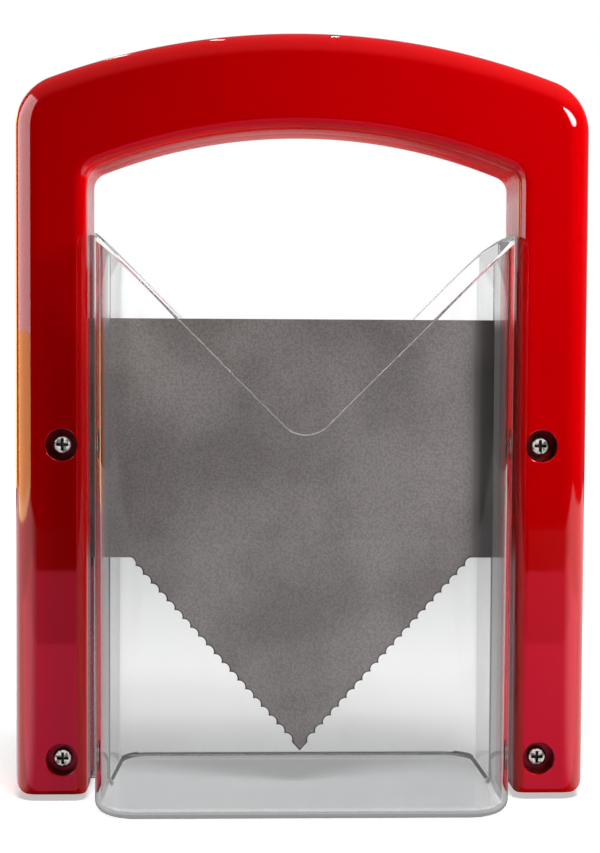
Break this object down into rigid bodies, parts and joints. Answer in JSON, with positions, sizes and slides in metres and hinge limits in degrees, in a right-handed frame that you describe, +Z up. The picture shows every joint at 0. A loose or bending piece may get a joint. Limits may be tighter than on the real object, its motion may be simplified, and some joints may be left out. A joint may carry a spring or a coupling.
{
  "type": "guillotine bagel slicer",
  "caption": "Hand guillotine for bagels: an arched red frame with a scalloped V blade slides down on rails over a clear slotted holder that stands the bagel on edge.",
  "frame": {"origin": "on the table, at the middle of the holder's base", "axes": "+Z up, the way the frame lifts; +X across the legs; +Y from the front, where the screw heads are, to the rear"},
  "size_m": [0.176, 0.0828, 0.235],
  "materials": {
    "clear_holder": "clear, polished",
    "red_frame": "high gloss",
    "coated_blade": "grey non-stick coating, fine grained",
    "screw_steel": "bright plated"
  },
  "bodies": {
    "holder": {"bagel_holder": "clear_holder"},
    "blade_frame": {"frame_front_shell": "red_frame", "frame_rear_shell": "red_frame", "blade": "coated_blade", "screw_upper_left": "screw_steel", "screw_upper_right": "screw_steel", "screw_lower_left": "screw_steel", "screw_lower_right": "screw_steel"}
  },
  "joints": [
    {"name": "frame_slide", "type": "slide", "parent": "holder", "child": "blade_frame", "axis": [0, 0, 1], "range_m": [0, 0.18]}
  ]
}
